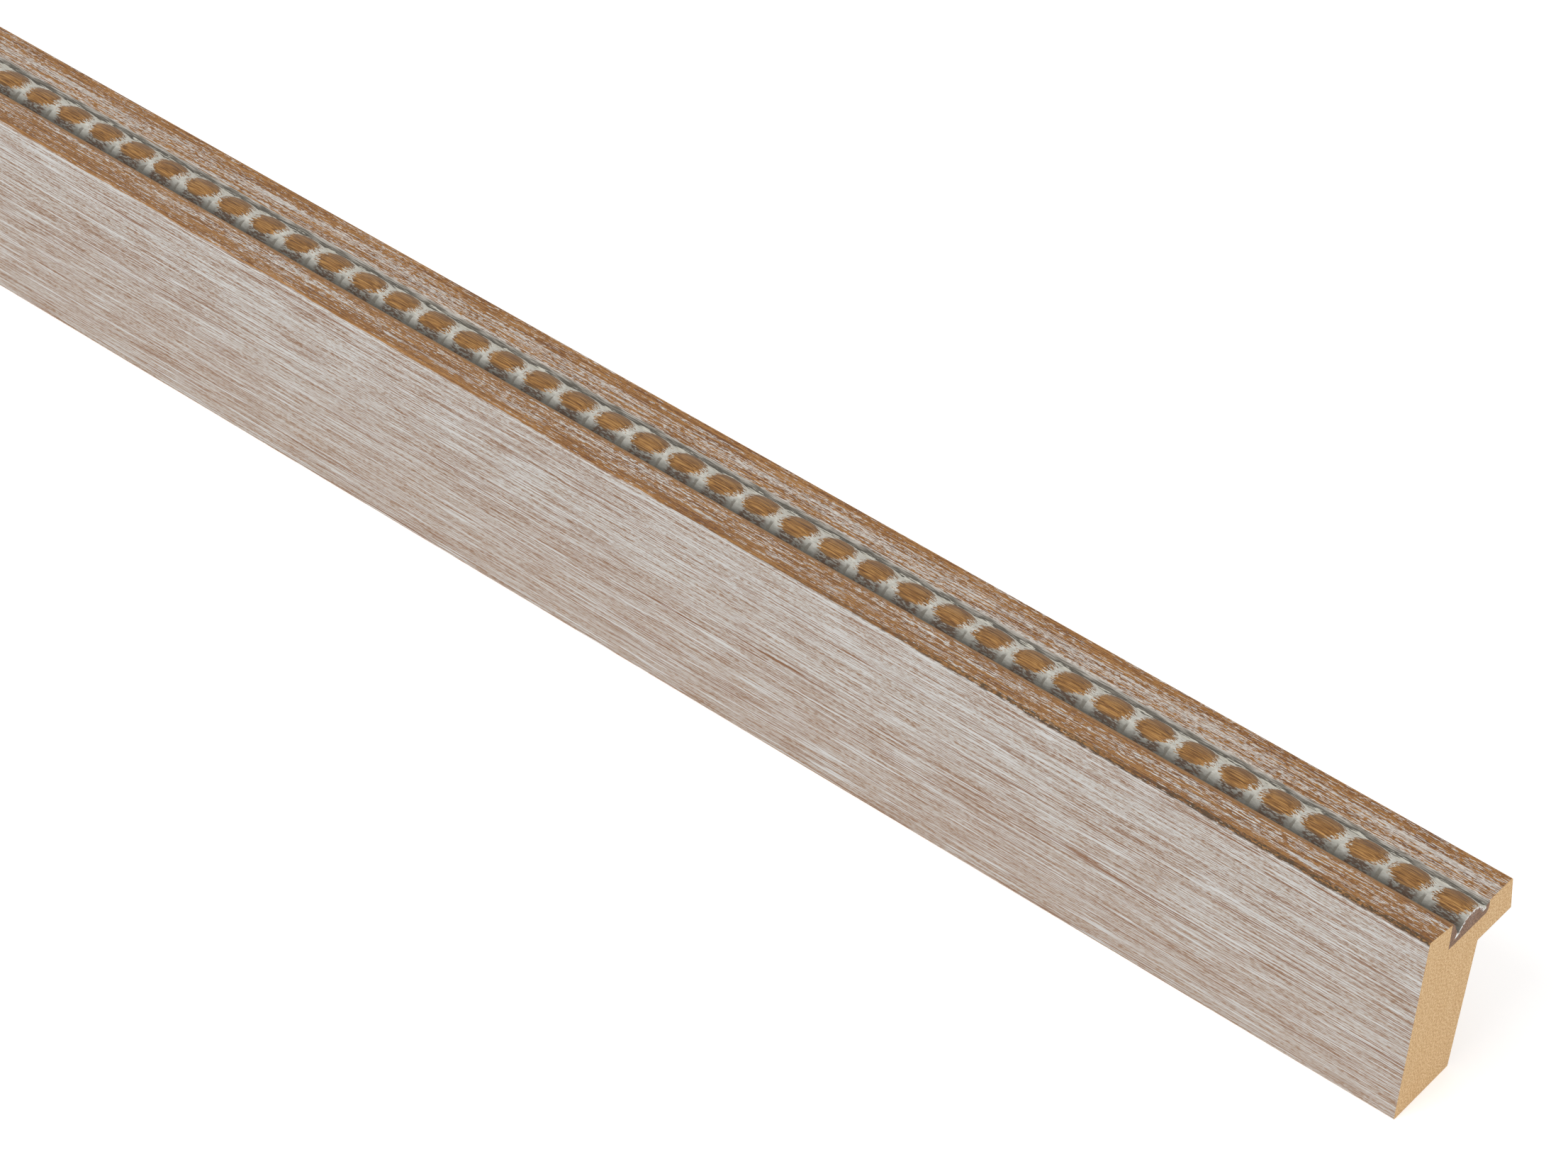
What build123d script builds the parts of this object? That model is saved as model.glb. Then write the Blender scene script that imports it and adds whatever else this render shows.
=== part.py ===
from build123d import *
import math
import os

os.makedirs("parts", exist_ok=True)

# A length of picture frame moulding with a row of pearls. X runs along the length, Y across it towards
# the lip that frames the picture, and Z up from the back. The photographed cut end is at +X.

# Stock length
length = 1000.0

# Widths of the wooden section, from the outer arris to the sight edge
outer_lean = 1.0
foot_width = 10.0
rebate_width = 6.3
sight_lean = 1.25
top_strip_width = 4.2

# Heights of the wooden section, stacked up from the back
rebate_depth = 18.1
lip_thickness = 4.95
outer_rise = 2.65
top_strip_fall = 0.67
ease_radius = 0.2

# Groove for the ornament
groove_width = 7.3
groove_depth = 1.55
groove_draft = 0.3
groove_corner_radius = 0.5

# Composition strip: a lining up the outer wall, a rim beside the lip and a trough for the pearls, whose
# two narrow shelves rise away from the row
lining_top_width = 0.3
rim_top_width = 0.45
shelf_slope = 22.0
shelf_margin = 0.1

# Row of half-round pearls that touch one another
bead_pitch = 5.16
bead_outer_margin = 0.9
bead_lip_margin = 0.6
bead_neck_drop = 0.35
first_bead_setback = 2.2

# Lines across the section
half_length = length / 2
arris_y = -(outer_lean + foot_width + rebate_width) / 2
foot_y = arris_y + outer_lean
rebate_wall_y = foot_y + foot_width
lip_edge_y = rebate_wall_y + rebate_width
sight_top_y = lip_edge_y - sight_lean
groove_arris_y = arris_y + top_strip_width
groove_outer_y = groove_arris_y + groove_draft
groove_lip_y = groove_outer_y + groove_width

# Levels of the section
lip_height = rebate_depth + lip_thickness
outer_height = lip_height + outer_rise
groove_arris_z = outer_height - top_strip_fall
groove_floor_z = lip_height - groove_depth


def seat_corner(edge):
    """Distance of a lengthwise edge from the foot of the groove's lip-side wall."""
    return math.hypot(edge.center().Y - groove_lip_y, edge.center().Z - groove_floor_z)


# One machined wooden length with its rebate and its groove
with BuildPart() as wood_moulding:
    with BuildSketch(Plane.YZ.offset(-half_length)):
        with BuildLine():
            Polyline(
                (foot_y, 0),
                (rebate_wall_y, 0),
                (rebate_wall_y, rebate_depth),
                (lip_edge_y, rebate_depth),
                (sight_top_y, lip_height),
                (groove_lip_y, lip_height),
                (groove_lip_y, groove_floor_z),
                (groove_outer_y, groove_floor_z),
                (groove_arris_y, groove_arris_z),
                (arris_y, outer_height),
                close=True,
            )
        make_face()
    extrude(amount=length)
    long_edges = wood_moulding.edges().filter_by(Axis.X)
    lip_arrises = long_edges.filter_by(lambda edge: abs(edge.center().Z - lip_height) < ease_radius / 2)
    fillet(long_edges.sort_by(Axis.Z)[-1:] + lip_arrises, radius=ease_radius)
    long_edges = wood_moulding.edges().filter_by(Axis.X)
    fillet(long_edges.sort_by(seat_corner)[0], radius=groove_corner_radius)

# The strip's own levels and lines: its lining ends flush with the top strip, its rim where the lip's
# eased arris starts
strip_slope = top_strip_fall / top_strip_width
lining_top_y = groove_arris_y + lining_top_width
lining_top_z = groove_arris_z - lining_top_width * strip_slope
rim_top_z = lip_height - ease_radius

# The pearls stand on the groove's floor, between the lining and the rim. The shelves beside them lie in
# planes through the row's axis, so the foot of every pearl is a true arc.
bead_radius = (groove_width - bead_outer_margin - bead_lip_margin) / 2
bead_axis_y = groove_outer_y + bead_outer_margin + bead_radius
bead_plane = Plane(origin=(0, bead_axis_y, groove_floor_z), x_dir=(1, 0, 0), z_dir=(0, 0, 1))
bead_curve_radius = (bead_pitch**2 / 4 + bead_neck_drop**2) / (2 * bead_neck_drop)
beads_past_end = math.ceil(first_bead_setback / bead_pitch - 0.5)
beads_to_far_end = math.ceil((length - first_bead_setback) / bead_pitch - 0.5)


def shelf_point(side, distance):
    """Point of the trough's section on the shelf at one side of the row, at a distance from its axis."""
    slope = math.radians(shelf_slope)
    return (bead_axis_y + side * distance * math.cos(slope), groove_floor_z + distance * math.sin(slope))


def pearl_outline(position, centre):
    """Point of the row's outline at a position along the length, on the arc of one pearl."""
    fall = bead_curve_radius - math.sqrt(bead_curve_radius**2 - (position - centre) ** 2)
    return (position, bead_radius - fall)


# One pressed composition strip with its row of pearls
with BuildPart() as bead_strip:
    with BuildSketch(Plane.YZ.offset(-half_length)):
        with BuildLine():
            Polyline(
                (groove_outer_y, groove_floor_z),
                (groove_lip_y, groove_floor_z),
                (groove_lip_y, rim_top_z),
                (groove_lip_y - rim_top_width, rim_top_z),
                shelf_point(1, bead_radius + shelf_margin),
                shelf_point(1, bead_radius / 2),
                shelf_point(-1, bead_radius / 2),
                shelf_point(-1, bead_radius + shelf_margin),
                (lining_top_y, lining_top_z),
                (groove_arris_y, groove_arris_z),
                close=True,
            )
        make_face()
    extrude(amount=length)
    long_edges = bead_strip.edges().filter_by(Axis.X)
    fillet(long_edges.sort_by(seat_corner)[0], radius=groove_corner_radius)
    with BuildSketch(bead_plane):
        with BuildLine():
            pearl_arcs = []
            for index in range(-beads_past_end, beads_to_far_end + 1):
                centre = half_length - first_bead_setback - index * bead_pitch
                near = min(centre + bead_pitch / 2, half_length)
                far = max(centre - bead_pitch / 2, -half_length)
                pearl_arcs.append(
                    ThreePointArc(
                        pearl_outline(near, centre),
                        pearl_outline((near + far) / 2, centre),
                        pearl_outline(far, centre),
                    )
                )
            Polyline(pearl_arcs[0] @ 0, (half_length, 0), (-half_length, 0), pearl_arcs[-1] @ 1)
        make_face()
    revolve(axis=Axis(bead_plane.origin, (1, 0, 0)), revolution_arc=180)

wood_moulding.part.label = "wood_moulding"
export_step(wood_moulding.part, "parts/wood_moulding.step")

bead_strip.part.label = "bead_strip"
export_step(bead_strip.part, "parts/bead_strip.step")
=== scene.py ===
# %% [markdown]
# # A length of picture frame moulding
# The object is a stick of wooden moulding, machined to a section and dressed with a pressed strip of
# composition, a hard putty of chalk and glue, which carries a row of half-round pearls. Over both lies
# a limed bronze finish: bronze paint, a whitish wash brushed along the length, and more rubbing.
# The machined shapes come ready from the CAD frame, so this script dresses them: it makes the painted
# pearl strip as a finer mesh, mixes the finishes, and sets up the studio.

# %% Load the frame
import math

import bmesh
import bpy
from mathutils import Matrix, Vector


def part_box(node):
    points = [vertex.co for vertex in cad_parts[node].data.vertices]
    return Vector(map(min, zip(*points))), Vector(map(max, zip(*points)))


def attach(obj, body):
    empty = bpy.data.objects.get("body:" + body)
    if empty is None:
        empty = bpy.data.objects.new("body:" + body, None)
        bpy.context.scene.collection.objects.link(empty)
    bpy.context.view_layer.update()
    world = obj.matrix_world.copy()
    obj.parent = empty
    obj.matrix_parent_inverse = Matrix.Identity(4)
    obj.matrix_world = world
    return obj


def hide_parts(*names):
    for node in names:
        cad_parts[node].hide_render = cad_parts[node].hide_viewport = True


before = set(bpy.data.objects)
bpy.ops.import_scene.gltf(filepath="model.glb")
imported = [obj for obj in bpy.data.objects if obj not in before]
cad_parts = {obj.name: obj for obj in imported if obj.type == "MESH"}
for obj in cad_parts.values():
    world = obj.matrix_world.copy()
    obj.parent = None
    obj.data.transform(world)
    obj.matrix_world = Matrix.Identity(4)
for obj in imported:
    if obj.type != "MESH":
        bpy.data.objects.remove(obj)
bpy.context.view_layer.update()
MM = 0.001
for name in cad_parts:
    low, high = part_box(name)
    print(name, "measures", [round((high[i] - low[i]) / MM, 2) for i in range(3)], "mm")

# %% [markdown]
# ## The camera
# The photograph looks down at the cut end from the outer side, through a long lens, and is turned a
# little. A camera is an object with a place and three directions: its right, its up and its back.
# Writing those as the columns of a matrix gives the turn without any angles to get wrong.

# %% Set the camera
CAMERA_PLACE = Vector((0.62838, -0.30358, 0.33151))
CAMERA_RIGHT = Vector((0.77784, 0.62437, 0.07154))
CAMERA_UP = Vector((-0.44962, 0.47334, 0.75749))
CAMERA_BACK = Vector((0.43910, -0.62137, 0.64891))
camera_lens = bpy.data.cameras.new("camera")
camera_lens.lens = 104.23
camera_lens.sensor_width = 36.0
camera_lens.clip_start = 0.01
camera_lens.clip_end = 20.0
camera = bpy.data.objects.new("camera", camera_lens)
bpy.context.scene.collection.objects.link(camera)
turn = Matrix((CAMERA_RIGHT, CAMERA_UP, CAMERA_BACK)).transposed().to_4x4()
camera.matrix_world = Matrix.Translation(CAMERA_PLACE) @ turn
bpy.context.scene.camera = camera
bpy.context.scene.view_settings.view_transform = "Standard"
print("camera stands", round(CAMERA_PLACE.length, 3), "m from the middle of the moulding")

# %% [markdown]
# ## Colours and nodes
# Every finish below is a small tree of shader nodes. Two helpers keep the trees short: one turns the
# hex code of a colour, as a paint chart gives it, into the linear numbers that Blender mixes, and one
# adds a node with its settings and links it up in the same line.

# %% Helpers for colours and nodes
def linear(code):
    """Linear colour of an sRGB hex code."""
    channels = [int(code[i : i + 2], 16) / 255 for i in (1, 3, 5)]
    return [c / 12.92 if c <= 0.04045 else ((c + 0.055) / 1.055) ** 2.4 for c in channels] + [1.0]


def add(tree, kind, inputs, stops=(), **settings):
    """Adds a node, sets it, and fills its sockets with values or links. Returns what it gives out."""
    node = tree.nodes.new("ShaderNode" + kind)
    for name, value in settings.items():
        setattr(node, name, value)
    for index, (position, colour) in enumerate(stops):
        elements = node.color_ramp.elements
        element = elements[index] if index < 2 else elements.new(1.0)
        element.position = position
        element.color = linear(colour)
    for key, value in inputs.items():
        named = [s for s in node.inputs if s.enabled and s.name == key]
        socket = named[0] if named else node.inputs[key]
        if isinstance(value, bpy.types.NodeSocket):
            tree.links.new(value, socket)
        else:
            socket.default_value = linear(value) if isinstance(value, str) else value
    given = [s for s in node.outputs if s.enabled]
    return given[0] if len(given) == 1 else given


print("bronze is", [round(c, 3) for c in linear("#95734F")], "in linear numbers")

# %% [markdown]
# ## The studio
# The moulding lies on its back on a pale table under soft, even light. A wide softbox stands over the
# outer side, a second one faces the cut end, and the world fills in the rest. The lamps are kept at
# the level where a colour renders about as it is written. A single lamp straight above would be
# simpler, but it would flatten the pearls: lit from the side, each gets a light flank and a dark one.

# %% Place the two softboxes
def softbox(name, place, target, width, watts):
    """A square area lamp that faces a point."""
    lamp = bpy.data.lights.new(name, "AREA")
    lamp.shape = "SQUARE"
    lamp.size = width
    lamp.energy = watts
    holder = bpy.data.objects.new(name, lamp)
    holder.location = place
    holder.rotation_mode = "QUATERNION"
    holder.rotation_quaternion = (Vector(target) - Vector(place)).to_track_quat("-Z", "Y")
    bpy.context.scene.collection.objects.link(holder)
    print(name, "gives", watts, "W over", width, "m")


softbox("softbox_over_side", (0.10, -1.10, 1.20), (0.35, 0.0, 0.0), 0.9, 9.0)
softbox("softbox_at_end", (1.90, -0.10, 0.70), (0.45, 0.0, 0.0), 0.8, 7.0)

# %% [markdown]
# ## A white backdrop that adds no light
# The table is a sheet of matt white paper: to the eye a plain ground that holds only a soft shadow.
# A brighter lamp would whiten it, and would bleach the moulding with it. So the table and the world
# are lifted to white only for rays that come from the camera, from a reflection or through glass. All
# other rays meet a plain table and a dimmer world, so the shadow stays.

# %% Set the world and the table
WORLD_FILL = 0.62
WORLD_WHITE = 1.0
TABLE_SIZE = 6.0
TABLE_LIFT = 0.36


def only_seen(tree):
    """1 for rays of the camera, of reflections and through glass, and 0 for rays that carry light."""
    rays = {s.name: s for s in add(tree, "LightPath", {})}
    seen = add(tree, "Math", {0: rays["Is Camera Ray"], 1: rays["Is Glossy Ray"]}, operation="MAXIMUM")
    return add(tree, "Math", {0: seen, 1: rays["Is Transmission Ray"]}, operation="MAXIMUM")


world = bpy.data.worlds.new("studio")
bpy.context.scene.world = world
world.use_nodes = True
sky = world.node_tree
sky.nodes.clear()
strength = add(
    sky, "MapRange", {"Value": only_seen(sky), "To Min": WORLD_FILL, "To Max": WORLD_WHITE}
)
backdrop = add(sky, "Background", {"Color": "#FFFFFF", "Strength": strength})
add(sky, "OutputWorld", {"Surface": backdrop})

bpy.ops.object.select_all(action="DESELECT")
bpy.ops.mesh.primitive_plane_add(size=TABLE_SIZE, location=(0.0, 0.0, 0.0))
table = bpy.context.object
table.name = "table_top"
paper = bpy.data.materials.new("white_paper")
paper.use_nodes = True
sheet = paper.node_tree
sheet.nodes.clear()
lift = add(sheet, "MapRange", {"Value": only_seen(sheet), "To Min": 0.0, "To Max": TABLE_LIFT})
matt = add(sheet, "BsdfDiffuse", {"Color": "#F2F2F2"})
glow = add(sheet, "Emission", {"Color": "#FFFFFF", "Strength": lift})
lit_paper = add(sheet, "AddShader", {0: matt, 1: glow})
add(sheet, "OutputMaterial", {"Surface": lit_paper})
table.data.materials.append(paper)
print("table of", TABLE_SIZE, "m, and a world that fills in at", WORLD_FILL)

# %% [markdown]
# ## The sizes of the section
# The wood is ready in the frame, and the strip has to lie exactly in its groove, so its sizes are
# repeated here in millimetres. A point of the section is given as its place across the moulding and
# its height over the back.

# %% Sizes of the groove and of the pearls
HALF_LENGTH = 500.0
GROOVE_ARRIS = (-4.45, 25.03)
GROOVE_FLOOR = 21.5
GROOVE_OUTER = -4.15
GROOVE_LIP = 3.15
CORNER_RADIUS = 0.5
PITCH = 5.16
FIRST_PEARL = HALF_LENGTH - 2.2
PEARL_COUNT = 194
ROW_AXIS = (-0.35, GROOVE_FLOOR)
PEARL_RADIUS = 2.9
NECK_DROP = 0.35
CURVE_RADIUS = (PITCH**2 / 4 + NECK_DROP**2) / (2 * NECK_DROP)
strip_low, strip_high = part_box("bead_strip")
print("the CAD strip starts at", [round(c / MM, 2) for c in strip_low], "mm")
print("and reaches", [round(c / MM, 2) for c in strip_high], "mm")

# %% [markdown]
# ## The pearl strip
# On the real thing a warm sheet of composition is pressed into a mould and glued into the groove, and
# the paint then rounds its corners and fills its narrow troughs. It could be modelled as one long
# extrusion with some two hundred half-round pearls joined in, but the strip is one skin. So one pitch
# is modelled: the section is drawn point by point, its dome is spun about the axis of the row,
# the loop is extruded along the pitch in six steps, and each step's dome is scaled to the curve of a
# pearl. An array repeats the pitch, and two cuts trim the row to the ends of the wood.

# %% Helpers for drawing a section
def at(x, section_point):
    """Point of the scene at a place along the moulding, from a point of the section."""
    return Vector((x, section_point[0], section_point[1])) * MM


def draw_to(point):
    """Extrudes the chosen end of the section to a point."""
    editing = bmesh.from_edit_mesh(bpy.context.object.data)
    last = [v for v in editing.verts if v.select][0]
    step = point - last.co
    bpy.ops.mesh.extrude_vertices_move(TRANSFORM_OT_translate={"value": step})


start_x = FIRST_PEARL + PITCH / 2
print("the section is drawn", round(start_x - HALF_LENGTH, 2), "mm past the cut end")

# %% [markdown]
# The section starts as a plane that is merged to one point at the outer foot of the groove. From
# there it runs along the floor, round the corner at the lip, over the rim and down its slope, over
# the dome of a pearl, up the lining of the outer wall, and back to its start. Under the paint the
# creases beside the dome are sharp, but paint fills them, so the dome starts and ends a little above
# the floor, at two angles round the axis of the row.

# %% Draw the section of the strip
RIM_TOP = 22.88
RIM_EDGE = (2.72, 22.80)
LINING_FOOT = (-3.80, 24.50)
LINING_TOP = 24.98
FAR_CREASE_ANGLE = math.radians(22)
NEAR_CREASE_ANGLE = math.radians(155)
CORNER_STEPS = 3
DOME_STEPS = 8
bpy.ops.object.select_all(action="DESELECT")
bpy.ops.mesh.primitive_plane_add(size=MM, location=at(start_x, (GROOVE_OUTER, GROOVE_FLOOR)))
pearl_strip = bpy.context.object
pearl_strip.name = "pearl_strip"
bpy.ops.object.transform_apply(location=True, rotation=True, scale=True)
bpy.ops.object.mode_set(mode="EDIT")
bpy.ops.mesh.merge(type="CENTER")
bpy.ops.mesh.select_mode(type="VERT")
bpy.ops.mesh.select_all(action="SELECT")
corner_centre = (GROOVE_LIP - CORNER_RADIUS, GROOVE_FLOOR + CORNER_RADIUS)
draw_to(at(start_x, (corner_centre[0], GROOVE_FLOOR)))
bpy.ops.mesh.spin(
    steps=CORNER_STEPS,
    angle=math.pi / 2,
    center=at(start_x, corner_centre),
    axis=(-1, 0, 0),
)
draw_to(at(start_x, (GROOVE_LIP, RIM_TOP)))
draw_to(at(start_x, RIM_EDGE))
far_crease = (
    ROW_AXIS[0] + PEARL_RADIUS * math.cos(FAR_CREASE_ANGLE),
    ROW_AXIS[1] + PEARL_RADIUS * math.sin(FAR_CREASE_ANGLE),
)
draw_to(at(start_x, far_crease))
bpy.ops.mesh.spin(
    steps=DOME_STEPS,
    angle=NEAR_CREASE_ANGLE - FAR_CREASE_ANGLE,
    center=at(start_x, ROW_AXIS),
    axis=(-1, 0, 0),
)
draw_to(at(start_x, LINING_FOOT))
draw_to(at(start_x, (GROOVE_OUTER, LINING_TOP)))
draw_to(at(start_x, GROOVE_ARRIS))
draw_to(at(start_x, (GROOVE_OUTER, GROOVE_FLOOR)))
bpy.ops.mesh.select_all(action="SELECT")
bpy.ops.mesh.remove_doubles(threshold=0.01 * MM)
section = bmesh.from_edit_mesh(pearl_strip.data)
print("the section has", len(section.verts), "points and", len(section.edges), "edges")

# %% [markdown]
# A pearl is round across the row and slightly curved along it, and it is lowest at the two necks where
# it touches its neighbours. Scaling each copy of the dome about the axis of the row gives both at once.

# %% Extrude one pitch and shape its pearl
PITCH_STEPS = 6
STEP_LENGTH = PITCH / PITCH_STEPS
NEARNESS = 0.01


def choose_dome(x):
    """Chooses the points of the pearl's dome at a place along the moulding."""
    editing = bmesh.from_edit_mesh(pearl_strip.data)
    for v in editing.verts:
        reach = math.hypot(v.co.y / MM - ROW_AXIS[0], v.co.z / MM - ROW_AXIS[1])
        v.select = abs(v.co.x / MM - x) < NEARNESS and abs(reach - PEARL_RADIUS) < NEARNESS
    editing.select_flush_mode()
    bmesh.update_edit_mesh(pearl_strip.data)


bpy.ops.mesh.select_all(action="SELECT")
for step in range(PITCH_STEPS):
    bpy.ops.mesh.extrude_edges_move(TRANSFORM_OT_translate={"value": (-STEP_LENGTH * MM, 0, 0)})
for step in range(PITCH_STEPS + 1):
    x = start_x - step * STEP_LENGTH
    fall = CURVE_RADIUS - math.sqrt(CURVE_RADIUS**2 - (x - FIRST_PEARL) ** 2)
    share = 1 - fall / PEARL_RADIUS
    choose_dome(x)
    bpy.ops.transform.resize(value=(1, share, share), center_override=at(x, ROW_AXIS))
pitch_mesh = bmesh.from_edit_mesh(pearl_strip.data)
print("one pitch has", len(pitch_mesh.faces), "faces")
bpy.ops.object.mode_set(mode="OBJECT")

# %% [markdown]
# The array merges each copy with the one before, so the row is one skin. The saw then goes through it
# at both ends, wherever the pitch happens to fall, and the fill of each cut closes the skin.

# %% Repeat the pitch and trim the row
row = pearl_strip.modifiers.new("row", "ARRAY")
row.count = PEARL_COUNT
row.use_relative_offset = False
row.use_constant_offset = True
row.constant_offset_displace = (-PITCH * MM, 0, 0)
row.use_merge_vertices = True
row.merge_threshold = 0.02 * MM
bpy.ops.object.modifier_apply(modifier=row.name)
bpy.ops.object.mode_set(mode="EDIT")
for end_sign in (1, -1):
    bpy.ops.mesh.select_all(action="SELECT")
    bpy.ops.mesh.bisect(
        plane_co=(end_sign * HALF_LENGTH * MM, 0, 0),
        plane_no=(end_sign, 0, 0),
        use_fill=True,
        clear_outer=True,
        threshold=0.001 * MM,
    )
bpy.ops.mesh.select_all(action="SELECT")
bpy.ops.mesh.normals_make_consistent(inside=False)
bpy.ops.object.mode_set(mode="OBJECT")
bpy.ops.object.shade_smooth_by_angle(angle=math.radians(20))
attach(pearl_strip, "root")
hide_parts("bead_strip")
print("the row has", PEARL_COUNT, "pearls before the cuts")

# %% Measure the strip
check = bmesh.new()
check.from_mesh(pearl_strip.data)
open_edges = [e for e in check.edges if len(e.link_faces) != 2]
print("the strip has", len(check.faces), "faces and", len(open_edges), "open edges")
print("its volume is", round(check.calc_volume() / MM**3), "mm3")
check.free()

# %% [markdown]
# ## Brush marks
# The wash on this moulding was dragged along the length with a stiff brush, so nearly every mark on it
# is long and narrow. One pattern does for all of them: a noise that is stretched by the size of one
# mark, given in millimetres along, across and up. Two levels say how much of the noise shows and how
# sharp its edges are. A slow bend is added to the place first, because a brush never runs quite
# straight.
# A soft bristle is about 0.05 mm thick. A mark as fine as that is lost at this distance, so the finest
# marks below are drawn about 0.1 mm wide, as coarse as they need to be to show.

# %% A pattern of marks, and the start of a finish
BEND_LENGTH = 60
BEND_WIDTH = 30
BEND_DEPTH = 0.5


def marks(tree, place, size, low, high, seed, detail=2.0):
    """Marks of a size in millimetres along, across and up: 0 between the marks and 1 on them."""
    shrink = [1 / s for s in size]
    shifted = add(
        tree, "VectorMath", {0: place, 1: shrink, 2: (seed, seed, seed)}, operation="MULTIPLY_ADD"
    )
    noise = add(
        tree, "TexNoise", {"Vector": shifted, "Scale": 1.0, "Detail": detail, "Roughness": 0.6}
    )[0]
    return add(tree, "MapRange", {"Value": noise, "From Min": low, "From Max": high})


def band(tree, value, middle, inner, outer):
    """1 where a value is within the inner distance of the middle, fading to 0 at the outer one."""
    distance = add(tree, "Math", {0: value, 1: middle}, operation="SUBTRACT")
    distance = add(tree, "Math", {0: distance}, operation="ABSOLUTE")
    return add(tree, "MapRange", {"Value": distance, "From Min": outer, "From Max": inner})


def new_finish(name):
    """A new material: its tree, its place in mm, the bent place of its brush marks and x, y, z."""
    finish = bpy.data.materials.new(name)
    finish.use_nodes = True
    tree = finish.node_tree
    tree.nodes.clear()
    place = {s.name: s for s in add(tree, "TexCoord", {})}["Object"]
    place = add(tree, "VectorMath", {0: place, 1: (1 / MM, 1 / MM, 1 / MM)}, operation="MULTIPLY")
    shrink = (1 / BEND_LENGTH, 1 / BEND_WIDTH, 1 / BEND_WIDTH)
    slow = add(tree, "VectorMath", {0: place, 1: shrink}, operation="MULTIPLY")
    slow = add(tree, "TexNoise", {"Vector": slow, "Scale": 1.0, "Detail": 1.0})[1]
    depth = (0.0, BEND_DEPTH, BEND_DEPTH)
    bent = add(tree, "VectorMath", {0: slow, 1: depth, 2: place}, operation="MULTIPLY_ADD")
    return finish, tree, place, bent, add(tree, "SeparateXYZ", {"Vector": place})


print("a brush mark wanders by up to", BEND_DEPTH, "mm every", BEND_LENGTH, "mm")

# %% [markdown]
# ## The finish of the wood
# The wood is raw where a saw or a cutter left it: at both ends, on the back and in the rebate. All
# the rest is painted. The surfaces meet at known heights and widths, so the finish reads its place on
# the moulding and picks the coat.
# The outer side comes first. It is painted a pinkish brown, and a thin grey-white wash was dragged
# over it and mostly left on. To the eye that is a dry, chalky skin with brown showing through in lines.
# An image of such a side would end and repeat, so four layers of marks are added up instead: fine
# lines, broad lines, slow clouds, and specks as small as the grit in the wash. The wash thins towards
# the back, where the brush ran off.

# %% Wash on the outer side
limed_wood, tree, place, bent, (x, y, z) = new_finish("limed_bronze_on_wood")
fine = marks(tree, bent, (10.0, 0.085, 0.085), 0.44, 0.56, 7.7, 1.0)
broad = marks(tree, bent, (30.0, 0.4, 0.4), 0.32, 0.68, 3.1)
cloud = marks(tree, bent, (50.0, 5.0, 5.0), 0.32, 0.68, 1.3)
speck = marks(tree, place, (0.60, 0.10, 0.10), 0.42, 0.58, 2.9, 1.0)
tone = add(tree, "Math", {0: fine, 1: 0.38}, operation="MULTIPLY")
for layer, weight in ((broad, 0.04), (cloud, 0.12), (speck, 0.36)):
    tone = add(tree, "Math", {0: layer, 1: weight, 2: tone}, operation="MULTIPLY_ADD")
side_stops = [
    (0.08, "#825E42"), (0.33, "#AC9078"), (0.445, "#BDB1A6"), (0.58, "#C6C2BC"), (0.88, "#D6D4D1"),
]
side = add(tree, "ValToRGB", {"Fac": tone}, stops=side_stops)[0]
thin_foot = add(tree, "MapRange", {"Value": z, "From Min": 19.0, "From Max": 0.0, "To Max": 0.34})
side = add(tree, "Mix", {"Factor": thin_foot, "A": side, "B": "#AD8D72"}, data_type="RGBA")
print("the wash has", len(side_stops), "tones, from bare brown to thick white")

# %% [markdown]
# Stray bristles leave single lines that are longer and sharper than the rest: brown where one scraped
# the wash off, which happens in bunches, and white where one left a ridge of it.

# %% Single lines in the wash
bunch = marks(tree, bent, (40.0, 0.8, 0.8), 0.34, 0.66, 11.0)
hair = marks(tree, bent, (16.0, 0.13, 0.13), 0.57, 0.59, 12.4, 1.0)
hair = add(tree, "Math", {0: hair, 1: bunch}, operation="MULTIPLY")
side = add(tree, "Mix", {"Factor": hair, "A": side, "B": "#865A36"}, data_type="RGBA")
ridge = marks(tree, bent, (9.0, 0.12, 0.12), 0.59, 0.61, 21.9, 1.0)
side = add(tree, "Mix", {"Factor": ridge, "A": side, "B": "#D8D6D3"}, data_type="RGBA")
print("with its single lines the side takes", len(tree.nodes), "nodes")

# %% [markdown]
# ## Bronze paint on the two top strips
# The sloped strip beside the outer side and the flat lip are matt bronze paint, rubbed along the
# length, with broken dashes of the same wash. To the eye they are warm and striped, and the wash is
# densest in the middle of each strip, where the brush pressed. Two finishes with a seam between them
# would not do, because both strips got the same strokes. So there is one bronze and one pattern of
# dashes, and a ramp across the moulding says how much of the wash each place keeps.

# %% Bronze paint
rub = marks(tree, bent, (9.0, 0.12, 0.12), 0.40, 0.60, 5.2, 1.0)
rub = add(tree, "Math", {0: rub, 1: 0.6}, operation="MULTIPLY")
rub = add(tree, "Math", {0: speck, 1: 0.4, 2: rub}, operation="MULTIPLY_ADD")
bronze_stops = [(0.1, "#63370A"), (0.5, "#916022"), (0.9, "#AA7B44")]
bronze = add(tree, "ValToRGB", {"Fac": rub}, stops=bronze_stops)[0]
print("the bronze runs through", len(bronze_stops), "tones")

# %% Dashes of wash
OUTER_ARRIS = -8.65
SIGHT_ARRIS = 7.40
WASH_EDGE = (0.895, 0.92)
across = add(tree, "MapRange", {"Value": y, "From Min": OUTER_ARRIS, "From Max": SIGHT_ARRIS})
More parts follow.
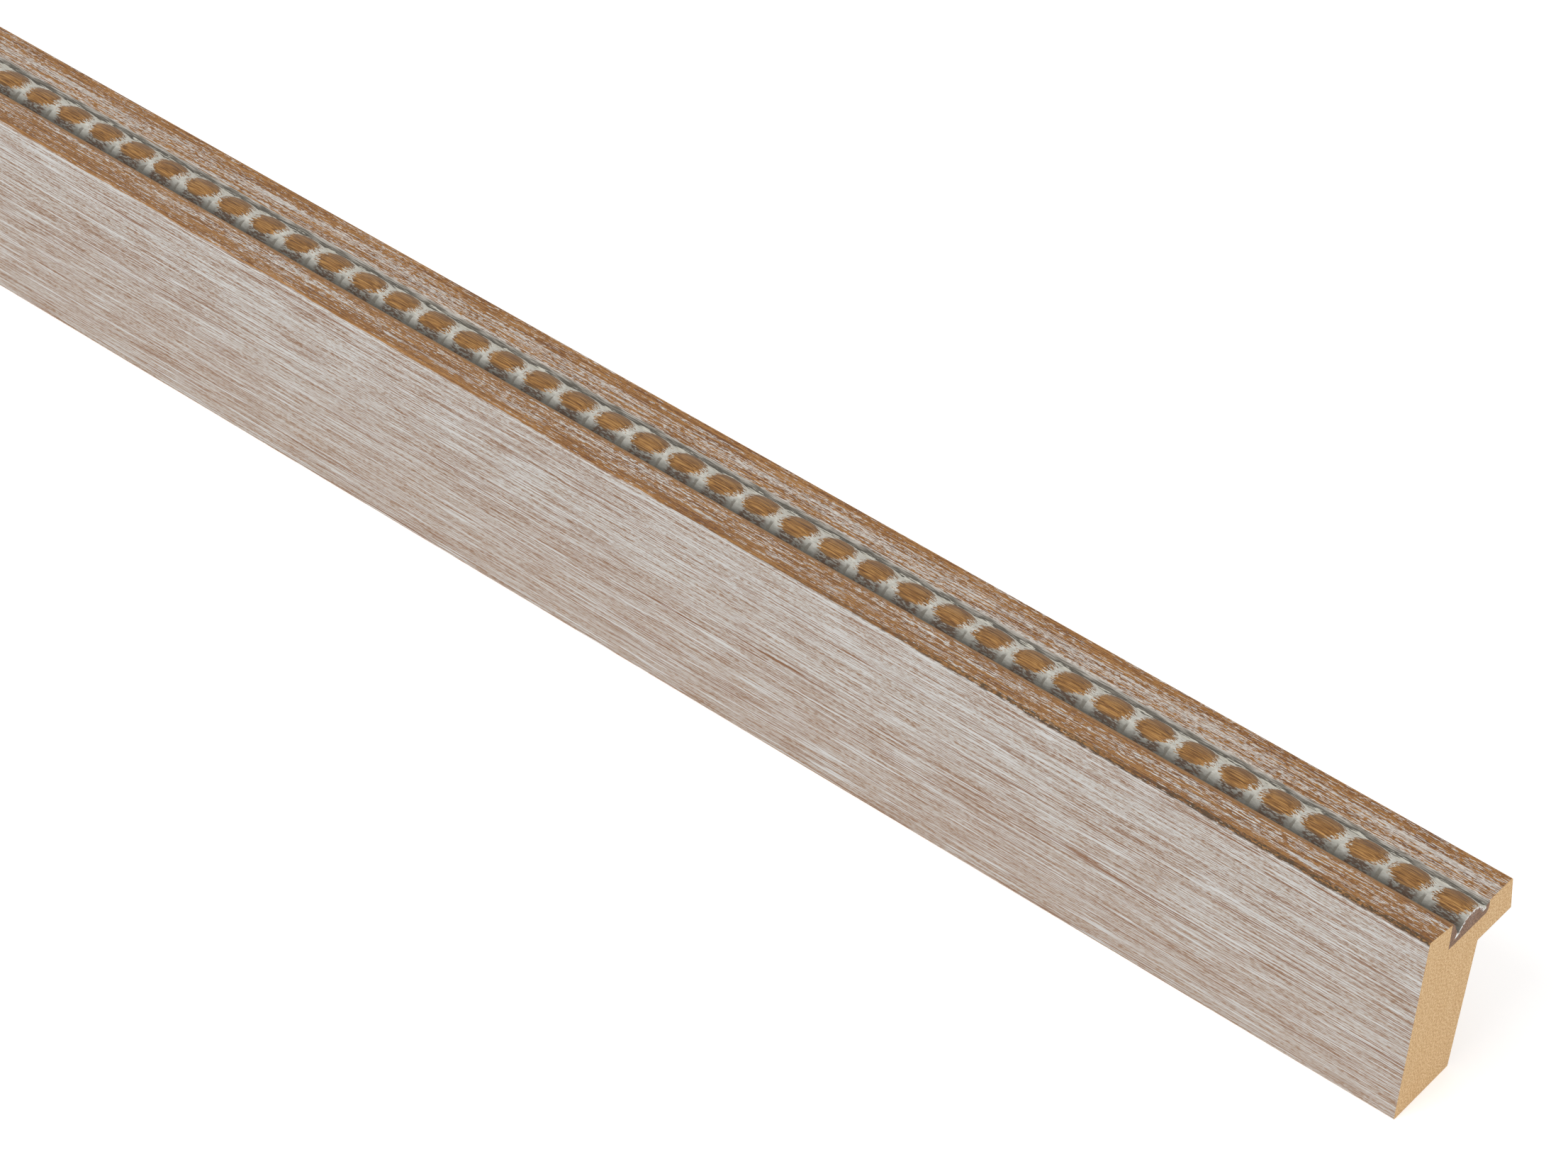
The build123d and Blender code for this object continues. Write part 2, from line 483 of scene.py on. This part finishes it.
# From the outer arris at 0 to the sight arris at 1: the paler the grey, the more wash stays
density_stops = [
    (0.0, "#101010"), (0.045, "#1C1C1C"), (0.075, "#404040"), (0.11, "#8C8C8C"), (0.15, "#9C9C9C"),
    (0.21, "#9A9A9A"), (0.245, "#606060"), (0.262, "#303030"), (0.70, "#808080"), (0.735, "#DADADA"),
    (0.755, "#A0A0A0"), (0.80, "#B8B8B8"), (0.83, "#D4D4D4"), (0.86, "#CECECE"), (0.885, "#929292"),
    (0.92, "#808080"), (0.97, "#404040"),
]
density = add(tree, "ValToRGB", {"Fac": across}, stops=density_stops)[0]
patch = marks(tree, bent, (26.0, 0.7, 0.7), 0.32, 0.68, 9.4)
dash = marks(tree, bent, (12.0, 0.13, 0.13), 0.40, 0.60, 15.6, 1.0)
crumb = marks(tree, place, (0.80, 0.13, 0.13), 0.40, 0.60, 16.8)
cover = add(tree, "Math", {0: dash, 1: 0.42}, operation="MULTIPLY")
for layer, weight in ((crumb, 0.46), (patch, 0.25), (density, 0.60)):
    cover = add(tree, "Math", {0: layer, 1: weight, 2: cover}, operation="MULTIPLY_ADD")
cover = add(
    tree, "MapRange", {"Value": cover, "From Min": WASH_EDGE[0], "From Max": WASH_EDGE[1]}
)
on_lip = add(
    tree, "MapRange", {"Value": y, "From Min": 2.6, "From Max": 3.4, "To Min": 1.0, "To Max": 0.8}
)
cover = add(tree, "Math", {0: cover, 1: on_lip}, operation="MULTIPLY")
wash = add(tree, "ValToRGB", {"Fac": speck}, stops=[(0.0, "#B8B1A8"), (1.0, "#E0DDD8")])[0]
top = add(tree, "Mix", {"Factor": cover, "A": bronze, "B": wash}, data_type="RGBA")
print("the strips run over", round(SIGHT_ARRIS - OUTER_ARRIS, 2), "mm, with the groove between them")

# %% [markdown]
# ## The rubbed arris
# Side and top meet at the outer arris, where the finisher rubbed through the wash. The line between
# the two coats isn't straight, so its height wanders by half a millimetre. Near the cuts the arris
# was bruised and is broken by dark crumbs, and farther on a thin bright line is painted on it as a
# highlight, where the arris catches the light. Just under it a pale broken line is a painted highlight.

# %% The line where the side's coat ends
COAT_LINE = 25.15
TOP_ONLY = -7.0
SIDE_ONLY = -8.2
wander = marks(tree, place, (8.0, 4.0, 4.0), 0.20, 0.80, 41.0, 5.0)
coat_edge = add(tree, "Math", {0: wander, 1: 0.50, 2: COAT_LINE}, operation="MULTIPLY_ADD")
above = add(tree, "Math", {0: z, 1: coat_edge}, operation="SUBTRACT")
on_top = add(tree, "MapRange", {"Value": above, "From Min": 0.0, "From Max": 0.05})
past_side = add(tree, "Math", {0: y, 1: TOP_ONLY}, operation="GREATER_THAN")
on_top = add(tree, "Math", {0: on_top, 1: past_side}, operation="MAXIMUM")
coat = add(tree, "Mix", {"Factor": on_top, "A": side, "B": top}, data_type="RGBA")
on_side = add(tree, "Math", {0: y, 1: SIDE_ONLY}, operation="LESS_THAN")
print("the coats meet about", COAT_LINE, "mm over the back")

# %% Dark crumbs near the cuts, and a painted highlight line farther on
BRUISE_START = 400.0
BRUISE_FULL = 450.0
end_reach = add(tree, "Math", {0: x}, operation="ABSOLUTE")
bruised = add(
    tree, "MapRange", {"Value": end_reach, "From Min": BRUISE_START, "From Max": BRUISE_FULL}
)
near_edge = band(tree, above, 0.05, 0.10, 0.30)
dots = marks(tree, place, (1.1, 0.20, 0.20), 0.46, 0.53, 43.0, 4.0)
dark_line = near_edge
for limit in (dots, on_side, bruised):
    dark_line = add(tree, "Math", {0: dark_line, 1: limit}, operation="MULTIPLY")
coat = add(tree, "Mix", {"Factor": dark_line, "A": coat, "B": "#4A3112"}, data_type="RGBA")
# A thin bright line on the arris, fading in away from the cuts, is a painted highlight.
arris_highlight = add(
    tree, "MapRange", {"Value": end_reach, "From Min": 430.0, "From Max": 330.0, "To Max": 0.6}
)
highlight_band = add(tree, "MapRange", {"Value": above, "From Min": 0.20, "From Max": 0.08})
for limit in (highlight_band, on_top, on_side):
    arris_highlight = add(tree, "Math", {0: arris_highlight, 1: limit}, operation="MULTIPLY")
coat = add(tree, "Mix", {"Factor": arris_highlight, "A": coat, "B": "#BE8A4C"}, data_type="RGBA")
print("the arris is fully bruised over the last", HALF_LENGTH - BRUISE_FULL, "mm at each end")

# %% Crumbs on the arris itself, and a painted highlight under it
on_arris = add(tree, "MapRange", {"Value": y, "From Min": -8.10, "From Max": -8.25})
grain = marks(tree, place, (0.50, 0.20, 0.20), 0.51, 0.55, 44.0)
stretch = marks(tree, place, (30.0, 30.0, 30.0), 0.35, 0.50, 46.0)
for limit in (grain, stretch, on_top, bruised):
    on_arris = add(tree, "Math", {0: on_arris, 1: limit}, operation="MULTIPLY")
coat = add(tree, "Mix", {"Factor": on_arris, "A": coat, "B": "#44300C"}, data_type="RGBA")
# A pale broken line just under the arris is a painted highlight.
highlight_under_arris = band(tree, above, -0.32, 0.04, 0.12)
for limit in (on_side, crumb):
    highlight_under_arris = add(tree, "Math", {0: highlight_under_arris, 1: limit}, operation="MULTIPLY")
coat = add(tree, "Mix", {"Factor": highlight_under_arris, "A": coat, "B": "#E4E1DD"}, data_type="RGBA")
print("the painted coat takes", len(tree.nodes), "nodes")

# %% [markdown]
# ## Raw wood
# A saw leaves a pale, dull surface with open pores, and it shows no gloss at all. The pores and the
# slow bands of growth follow the length, so at a cut end they are seen end on, as fine dots. Three
# simple tests pick the raw places: the very end, the very bottom, and the corner of the rebate. The
# coat's relief is the same brush marks as its colour, a few hundredths of a millimetre high.

# %% Raw wood, and the choice of coat by place
LEDGE_HEIGHT = 18.12
WALL_PLACE = 2.34
pore = marks(tree, place, (0.8, 0.22, 0.22), 0.36, 0.64, 31.0)
growth = marks(tree, place, (90.0, 0.8, 9.0), 0.30, 0.70, 33.0)
raw_tone = add(tree, "Math", {0: pore, 1: 0.88}, operation="MULTIPLY")
raw_tone = add(tree, "Math", {0: growth, 1: 0.12, 2: raw_tone}, operation="MULTIPLY_ADD")
raw_stops = [(0.10, "#BC9060"), (0.5, "#D3AE7C"), (0.90, "#E4C497")]
raw = add(tree, "ValToRGB", {"Fac": raw_tone}, stops=raw_stops)[0]
at_end = add(tree, "Math", {0: end_reach, 1: HALF_LENGTH - 0.05}, operation="GREATER_THAN")
at_back = add(tree, "Math", {0: z, 1: 0.02}, operation="LESS_THAN")
under_lip = add(tree, "Math", {0: z, 1: LEDGE_HEIGHT}, operation="LESS_THAN")
behind_wall = add(tree, "Math", {0: y, 1: WALL_PLACE}, operation="GREATER_THAN")
in_rebate = add(tree, "Math", {0: under_lip, 1: behind_wall}, operation="MULTIPLY")
is_raw = add(tree, "Math", {0: at_end, 1: at_back}, operation="MAXIMUM")
is_raw = add(tree, "Math", {0: is_raw, 1: in_rebate}, operation="MAXIMUM")
colour = add(tree, "Mix", {"Factor": is_raw, "A": coat, "B": raw}, data_type="RGBA")
gloss = add(tree, "MapRange", {"Value": is_raw, "To Min": 0.55, "To Max": 0.85})
relief = add(tree, "Math", {0: fine, 1: cover}, operation="ADD")
bump = add(tree, "Bump", {"Strength": 0.5, "Distance": 0.03 * MM, "Height": relief})
skin = add(tree, "BsdfPrincipled", {"Base Color": colour, "Roughness": gloss, "Normal": bump})
add(tree, "OutputMaterial", {"Surface": skin})
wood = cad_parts["wood_moulding"]
wood.data.materials.clear()
wood.data.materials.append(limed_wood)
print("the wood's finish has", len(tree.nodes), "nodes")

# %% [markdown]
# ## The finish of the pearl strip
# The wash was left thick in the valleys between the pearls and wiped off their crowns, so each pearl
# shows an oval of bronze. The flank towards the outer side is rubbed down to dark brown at the foot,
# and painted shade with grime sits in the crease beside the lip. At the cut ends the brown body shows
# under a thin broken rim of paint. To the eye the crowns have a low metal sheen, and all the rest is
# chalky.
# A map of each pearl could be painted by hand, 194 times over. Instead the finish works out where it
# is on a pearl: how far along from the middle of the pearl, and at what angle round the axis of the
# row, from 0 degrees at the lip over 90 at the crown to 180 at the outer side.

# %% Place on a pearl
painted_strip, tree, place, bent, (x, y, z) = new_finish("bronze_and_wash_on_composition")
wrapped = add(
    tree, "Math", {0: x, 1: FIRST_PEARL + PITCH / 2, 2: FIRST_PEARL - PITCH / 2}, operation="WRAP"
)
along = add(tree, "Math", {0: wrapped, 1: FIRST_PEARL}, operation="SUBTRACT")
level = add(tree, "Math", {0: z, 1: ROW_AXIS[1]}, operation="SUBTRACT")
reach = add(tree, "Math", {0: y, 1: ROW_AXIS[0]}, operation="SUBTRACT")
angle = add(tree, "Math", {0: level, 1: reach}, operation="ARCTAN2")
degrees = add(tree, "Math", {0: angle}, operation="DEGREES")
print("along runs from", -PITCH / 2, "to", PITCH / 2, "mm on each pearl")

# %% [markdown]
# ## Ovals of bronze
# The rag that wiped the crowns was dragged along the row, so the ovals are sharp at their sides and
# ragged at their ends. An oval is a sum of two shares, one for the way along and one for the way
# round, and a power a little over 2 makes it fuller than an ellipse. Marks are taken off the way
# along before that, which frays the ends only. The rag also leant and swayed, so each oval leans with
# the angle round the row and shifts a little, and a fixed amount brings their middle back.

# %% Oval of bronze on each crown
OVAL_HALF_LENGTH = 2.0
OVAL_HALF_ANGLE = 35.5
OVAL_MIDDLE = 87.0
OVAL_FULLNESS = 2.3
FRAY = 0.85
FRAY_BACK = 0.38
SWAY = 0.5
LEAN_PER_DEGREE = 0.007
MIDDLE_BACK = 0.96
drag = marks(tree, place, (3.2, 0.11, 0.11), 0.38, 0.62, 4.4, 1.0)
sway = marks(tree, place, (4.0, 1.2, 1.2), 0.30, 0.70, 4.9)
swayed = add(tree, "Math", {0: sway, 1: SWAY, 2: along}, operation="MULTIPLY_ADD")
leant = {0: degrees, 1: LEAN_PER_DEGREE, 2: swayed}
moved = add(tree, "Math", leant, operation="MULTIPLY_ADD")
moved = add(tree, "Math", {0: moved, 1: MIDDLE_BACK}, operation="SUBTRACT")
lengthwise = add(tree, "Math", {0: moved}, operation="ABSOLUTE")
lengthwise = add(tree, "Math", {0: drag, 1: -FRAY, 2: lengthwise}, operation="MULTIPLY_ADD")
lengthwise = add(tree, "Math", {0: lengthwise, 1: FRAY_BACK}, operation="ADD")
lengthwise = add(tree, "Math", {0: lengthwise, 1: 0.0}, operation="MAXIMUM")
lengthwise = add(tree, "Math", {0: lengthwise, 1: OVAL_HALF_LENGTH}, operation="DIVIDE")
lengthwise = add(tree, "Math", {0: lengthwise, 1: OVAL_FULLNESS}, operation="POWER")
crosswise = add(tree, "Math", {0: degrees, 1: OVAL_MIDDLE}, operation="SUBTRACT")
crosswise = add(tree, "Math", {0: crosswise, 1: OVAL_HALF_ANGLE}, operation="DIVIDE")
crosswise = add(tree, "Math", {0: crosswise}, operation="ABSOLUTE")
crosswise = add(tree, "Math", {0: crosswise, 1: OVAL_FULLNESS}, operation="POWER")
spread = add(tree, "Math", {0: lengthwise, 1: crosswise}, operation="ADD")
crumb = marks(tree, place, (0.5, 0.14, 0.14), 0.32, 0.68, 5.8)
spread = add(tree, "Math", {0: crumb, 1: 0.20, 2: spread}, operation="MULTIPLY_ADD")
on_crown = add(tree, "MapRange", {"Value": spread, "From Min": 1.16, "From Max": 1.06})
print("an oval is about", 2 * OVAL_HALF_LENGTH, "mm long on a pearl of", PITCH, "mm")

# %% [markdown]
# The bronze on the crowns is polished by the rag in fine lines. It is painted darker on both flanks,
# as painted shade where they turn away from the light.

# %% Bronze on the crowns
rub = marks(tree, place, (4.0, 0.13, 0.13), 0.34, 0.66, 6.6, 2.0)
bronze_stops = [(0.0, "#593610"), (0.5, "#8E622E"), (1.0, "#B4874C")]
bronze = add(tree, "ValToRGB", {"Fac": rub}, stops=bronze_stops)[0]
# Both flanks of the bronze, towards the lip and at the near edge, are darkened as painted shade.
for start, end, most in ((95.0, 52.0, 0.55), (112.0, 123.0, 0.7)):
    flank = add(
        tree, "MapRange", {"Value": degrees, "From Min": start, "From Max": end, "To Max": most}
    )
    bronze = add(tree, "Mix", {"Factor": flank, "A": bronze, "B": "#4A3417"}, data_type="RGBA")
print("the crowns take", len(tree.nodes), "nodes")

# %% [markdown]
# ## Wash in the valleys
# Between the pearls the wash is thick, creamy and smeared. Towards the lip it is yellower and painted
# a little lighter, as painted light on that flank, and towards the outer side it is painted darker, as
# painted shade with dirt in it. At the near foot of each pearl the wash was rubbed off again down to
# mottled brown. Each of these is mixed over the last by its place on the pearl.

# %% Wash in the valleys, brown at the near foot
smear = marks(tree, place, (1.0, 0.30, 0.30), 0.30, 0.70, 8.8, 3.0)
wash_stops = [(0.0, "#B4B2A8"), (0.5, "#C9C6BC"), (1.0, "#DAD8D0")]
wash = add(tree, "ValToRGB", {"Fac": smear}, stops=wash_stops)[0]
# The flank towards the lip is painted lighter, as painted light, and its yellow is the wash's own.
lit_far_flank = add(
    tree, "MapRange", {"Value": degrees, "From Min": 78.0, "From Max": 48.0, "To Max": 0.25}
)
wash = add(tree, "Mix", {"Factor": lit_far_flank, "A": wash, "B": "#E2DDCB"}, data_type="RGBA")
# The near foot is painted darker as shade with dirt, starting a little earlier on one side of each
# pearl.
skewed = add(tree, "Math", {0: along, 1: 1.5, 2: degrees}, operation="MULTIPLY_ADD")
shaded_foot = add(
    tree, "MapRange", {"Value": skewed, "From Min": 106.0, "From Max": 133.0, "To Max": 0.85}
)
wash = add(tree, "Mix", {"Factor": shaded_foot, "A": wash, "B": "#5B584F"}, data_type="RGBA")
foot = add(tree, "MapRange", {"Value": degrees, "From Min": 116.0, "From Max": 122.0})
under_pearl = band(tree, along, 0.20, 1.3, 1.9)
mottle = marks(tree, place, (0.6, 0.18, 0.18), 0.44, 0.52, 14.2, 3.0)
rubbed = foot
for limit in (under_pearl, mottle):
    rubbed = add(tree, "Math", {0: rubbed, 1: limit}, operation="MULTIPLY")
valley = add(tree, "Mix", {"Factor": rubbed, "A": wash, "B": "#544132"}, data_type="RGBA")
print("the wash in the valleys has", len(wash_stops), "tones")

# %% [markdown]
# ## Painted shade and grime in the creases
# Shade falls, and dust and old wax stay, where light and a rag can't reach: in the notch between two
# pearls, low on the near flank, and in the crease beside the lip. The notch is painted dark as shade,
# and the crease beside the lip as painted shade with grime: a dark line that bows round each pearl, so
# a cosine of the way along moves it out and in, and from there the rim lightens up to the lip.

# %% Painted shade between the pearls
NOTCH_START = 2.46
NOTCH_FULL = 2.54
NOTCH_SHADE = 0.7
# The notch low between two pearls is painted dark, as painted shade.
bow = add(tree, "Math", {0: swayed}, operation="ABSOLUTE")
between = add(tree, "MapRange", {"Value": bow, "From Min": NOTCH_START, "From Max": NOTCH_FULL})
low_down = add(tree, "MapRange", {"Value": degrees, "From Min": 110.0, "From Max": 116.0})
for limit in (low_down, NOTCH_SHADE):
    between = add(tree, "Math", {0: between, 1: limit}, operation="MULTIPLY")
valley = add(tree, "Mix", {"Factor": between, "A": valley, "B": "#6D675C"}, data_type="RGBA")
crown = add(tree, "Mix", {"Factor": on_crown, "A": valley, "B": bronze}, data_type="RGBA")
print("the notch between two pearls is dark over", round(PITCH - 2 * NOTCH_START, 2), "mm")

# %% Painted shade and grime beside the lip, and the rim
RIM_START = 2.48
RIM_END = 3.55
ripple = add(tree, "Math", {0: along, 1: 2 * math.pi / PITCH}, operation="MULTIPLY")
ripple = add(tree, "Math", {0: ripple}, operation="COSINE")
lip_way = add(tree, "Math", {0: ripple, 1: 0.10, 2: y}, operation="MULTIPLY_ADD")
trail = marks(tree, place, (1.8, 0.14, 0.14), 0.36, 0.64, 23.0, 2.0)
lip_way = add(tree, "Math", {0: trail, 1: 0.50, 2: lip_way}, operation="MULTIPLY_ADD")
rim_share = add(tree, "MapRange", {"Value": lip_way, "From Min": RIM_START, "From Max": RIM_END})
# The rim runs from painted shade with grime in the crease to plain wash at the lip.
rim_stops = [
    (0.0, "#57524A"), (0.35, "#544F46"), (0.55, "#7A746A"), (0.78, "#A8A299"), (1.0, "#C4BEB6"),
]
rim_shade_and_wash = add(tree, "ValToRGB", {"Fac": rim_share}, stops=rim_stops)[0]
on_rim = add(tree, "MapRange", {"Value": lip_way, "From Min": 2.60, "From Max": 2.70})
crown = add(tree, "Mix", {"Factor": on_rim, "A": crown, "B": rim_shade_and_wash}, data_type="RGBA")
print("the rim lightens over", round(RIM_END - RIM_START, 2), "mm")

# %% [markdown]
# ## The cut ends of the strip
# Where the saw went through, composition is a dull, gritty brown, with the paint as a thin white line
# over the dome that has chipped off in places. The line is found by its distance from the axis of the
# row, and marks on that distance do the chipping. The lining up the outer wall has no wash on it.

# %% Brown body at the cut ends
RIM_PAINT_INNER = 2.72
RIM_PAINT_OUTER = 3.05
RIM_PAINT_FOOT = 0.85
end_reach = add(tree, "Math", {0: x}, operation="ABSOLUTE")
at_end = add(tree, "Math", {0: end_reach, 1: HALF_LENGTH - 0.02}, operation="GREATER_THAN")
grit = marks(tree, place, (0.22, 0.22, 0.22), 0.36, 0.64, 17.5, 3.0)
body_stops = [(0.0, "#5C412E"), (0.5, "#77563F"), (1.0, "#94735A")]
body = add(tree, "ValToRGB", {"Fac": grit}, stops=body_stops)[0]
radius = add(tree, "Math", {0: level, 1: level}, operation="MULTIPLY")
radius = add(tree, "Math", {0: reach, 1: reach, 2: radius}, operation="MULTIPLY_ADD")
radius = add(tree, "Math", {0: radius}, operation="SQRT")
chip = marks(tree, place, (0.5, 0.25, 0.25), 0.34, 0.66, 19.1, 3.0)
chipped = add(tree, "Math", {0: chip, 1: 0.50, 2: radius}, operation="MULTIPLY_ADD")
is_rim = add(tree, "Math", {0: chipped, 1: RIM_PAINT_INNER}, operation="GREATER_THAN")
inside = add(tree, "Math", {0: radius, 1: RIM_PAINT_OUTER}, operation="LESS_THAN")
high_up = add(tree, "Math", {0: level, 1: RIM_PAINT_FOOT}, operation="GREATER_THAN")
for limit in (inside, high_up):
    is_rim = add(tree, "Math", {0: is_rim, 1: limit}, operation="MULTIPLY")
cut = add(tree, "Mix", {"Factor": is_rim, "A": body, "B": "#E6E4DF"}, data_type="RGBA")
print("the line of paint is sought between", RIM_PAINT_INNER, "and", RIM_PAINT_OUTER, "mm")

# %% The whole finish of the strip
LINING_PLACE = -4.0
lining = add(tree, "Math", {0: y, 1: LINING_PLACE}, operation="LESS_THAN")
dressed = add(tree, "Mix", {"Factor": lining, "A": crown, "B": "#8E6A45"}, data_type="RGBA")
colour = add(tree, "Mix", {"Factor": at_end, "A": dressed, "B": cut}, data_type="RGBA")
relief = add(tree, "Math", {0: drag, 1: smear}, operation="ADD")
bump = add(tree, "Bump", {"Strength": 0.6, "Distance": 0.04 * MM, "Height": relief})
metal = add(tree, "Math", {0: on_crown, 1: 0.4}, operation="MULTIPLY")
gloss = add(tree, "MapRange", {"Value": on_crown, "To Min": 0.7, "To Max": 0.42})
skin = add(
    tree,
    "BsdfPrincipled",
    {"Base Color": colour, "Roughness": gloss, "Metallic": metal, "Normal": bump},
)
add(tree, "OutputMaterial", {"Surface": skin})
pearl_strip.data.materials.clear()
pearl_strip.data.materials.append(painted_strip)
print("the strip's finish has", len(tree.nodes), "nodes")
